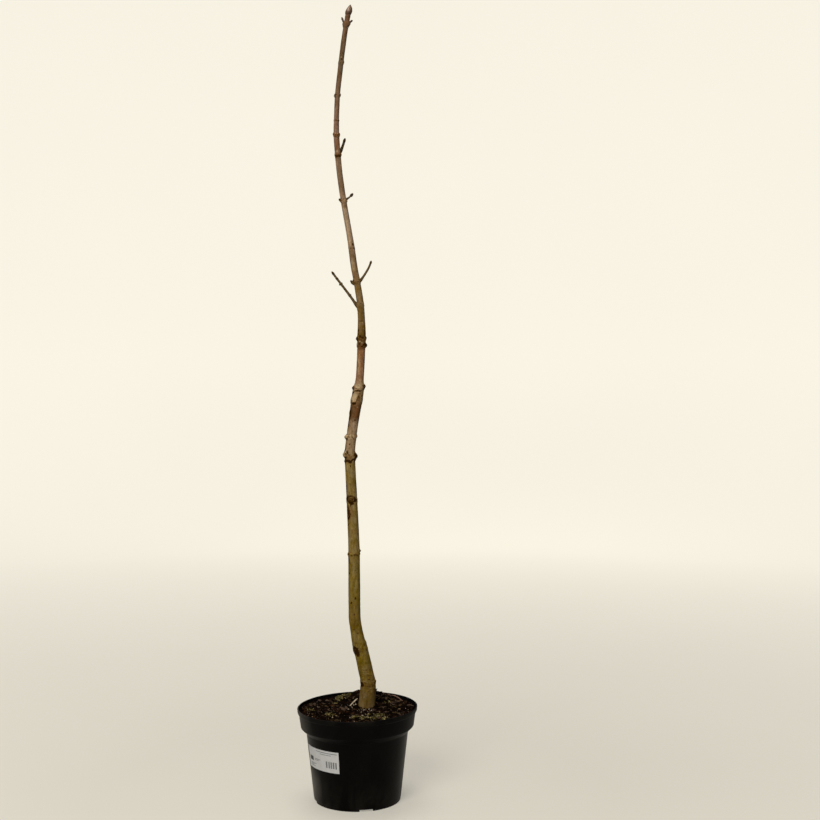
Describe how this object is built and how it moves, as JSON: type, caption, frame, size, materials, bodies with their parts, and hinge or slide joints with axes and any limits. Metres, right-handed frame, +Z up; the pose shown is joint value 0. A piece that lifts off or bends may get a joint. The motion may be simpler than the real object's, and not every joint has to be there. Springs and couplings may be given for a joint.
{
  "type": "potted chinese horse chestnut",
  "caption": "Young bare winter tree with one crooked stem, short twigs and a large end bud, standing in a round black nursery pot filled with bark compost.",
  "frame": {"origin": "on the floor, at the centre of the pot's underside", "axes": "+Z up along the stem, +X to the viewer's right in the picture, +Y away from the viewer"},
  "size_m": [0.2714, 0.2714, 1.777],
  "materials": {
    "bark": "matte smooth olive-brown bark",
    "twig_bark": "matte dark brown twig bark",
    "bud_scales": "satin brown bud scales",
    "pot_plastic": "satin black moulded plastic",
    "compost": "loose dark bark compost",
    "label_card": "smooth white label",
    "bare_wood": "pale split wood"
  },
  "bodies": {
    "root": {"trunk": "bark", "twig_low_left": "twig_bark", "twig_mid_right": "twig_bark", "twig_high_right": "twig_bark", "twig_top_right": "twig_bark", "stub_mid_left": "twig_bark", "stub_high_left": "twig_bark", "side_bud_left": "bud_scales", "side_bud_right": "bud_scales", "terminal_bud": "bud_scales", "pot": "pot_plastic", "soil": "compost", "label": "label_card", "wood_chip": "bare_wood"}
  },
  "joints": []
}
